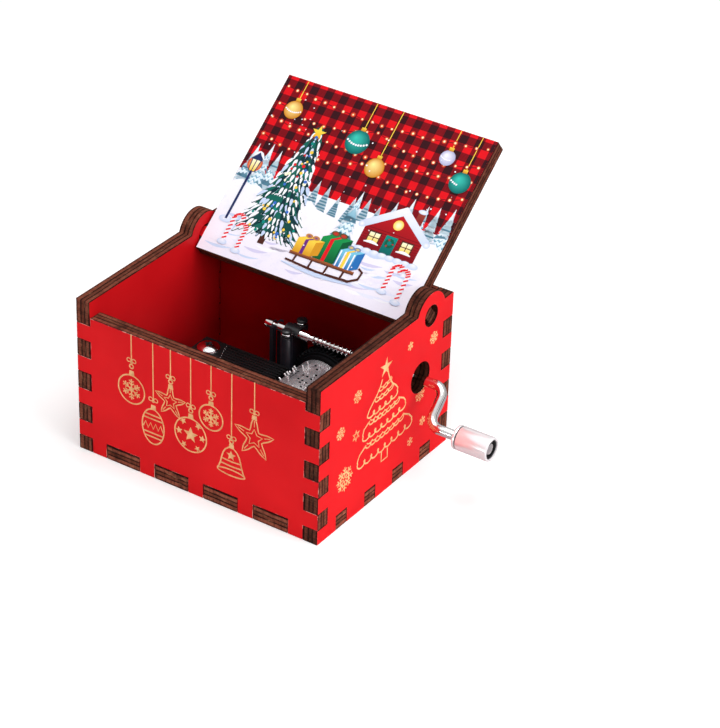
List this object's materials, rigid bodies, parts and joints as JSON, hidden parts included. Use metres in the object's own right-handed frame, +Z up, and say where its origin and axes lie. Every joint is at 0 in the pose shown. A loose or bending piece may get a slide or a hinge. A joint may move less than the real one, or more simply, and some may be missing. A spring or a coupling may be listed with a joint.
{
  "type": "hand-cranked music box",
  "caption": "Small finger-jointed plywood box with a hinged lid and a crank at the side that turns a worm, its wheel and a pinned cylinder under a steel comb.",
  "frame": {"origin": "middle of the box's footprint, on the underside of the bottom panel", "axes": "+X to the right along the front, towards the crank; +Y to the back, towards the hinge; +Z up"},
  "size_m": [0.0873, 0.0757, 0.0644],
  "materials": {
    "painted_plywood": "red paint over laser-cut plywood",
    "black_casting": "black lacquered casting",
    "black_steel": "blackened steel",
    "bright_steel": "bright chrome plate",
    "comb_steel": "dark ground steel",
    "nickel_plated_brass": "nickel plate over brass",
    "black_plastic": "moulded black plastic"
  },
  "bodies": {
    "box": {"front_panel": "painted_plywood", "back_panel": "painted_plywood", "left_panel": "painted_plywood", "right_panel": "painted_plywood", "bottom_panel": "painted_plywood", "bedplate": "black_casting", "front_bearing": "black_casting", "comb": "comb_steel", "comb_screw_rear": "bright_steel", "comb_screw_front": "bright_steel", "bearing_screw": "bright_steel", "left_strap": "black_steel", "right_strap": "black_steel", "strap_screw_left_front": "black_steel", "strap_screw_left_rear": "black_steel", "strap_screw_right_front": "black_steel", "strap_screw_right_rear": "black_steel", "washer_left_front": "bright_steel", "washer_left_rear": "bright_steel", "washer_right_front": "bright_steel", "washer_right_rear": "bright_steel", "mounting_screw_1": "comb_steel", "mounting_screw_2": "comb_steel", "mounting_screw_3": "comb_steel"},
    "lid_board": {"lid": "painted_plywood"},
    "cylinder_group": {"cylinder": "nickel_plated_brass", "cylinder_arbor": "comb_steel", "worm_wheel": "black_plastic"},
    "crank_wire": {"crank": "bright_steel"},
    "knob": {"knob_barrel": "bright_steel", "knob_core": "black_plastic"}
  },
  "joints": [
    {"name": "lid_hinge", "type": "hinge", "parent": "box", "child": "lid_board", "pos_m": [0, 0.0166, 0.0366], "axis": [1, 0, 0], "range_deg": [0, 140.85]},
    {"name": "crank_spin", "type": "hinge", "parent": "box", "child": "crank_wire", "pos_m": [0.008, 0.0132, 0.0222], "axis": [1, 0, 0], "continuous": true},
    {"name": "cylinder_spin", "type": "hinge", "parent": "box", "child": "cylinder_group", "pos_m": [0.008, 0.0132, 0.0127], "axis": [0, 1, 0], "continuous": true},
    {"name": "knob_spin", "type": "hinge", "parent": "crank_wire", "child": "knob", "pos_m": [0.0458, 0.00691, 0.0159], "axis": [1, 0, 0], "continuous": true}
  ],
  "couplings": [
    {"joint": "cylinder_spin", "follows": "crank_spin", "ratio": -0.020833}
  ]
}
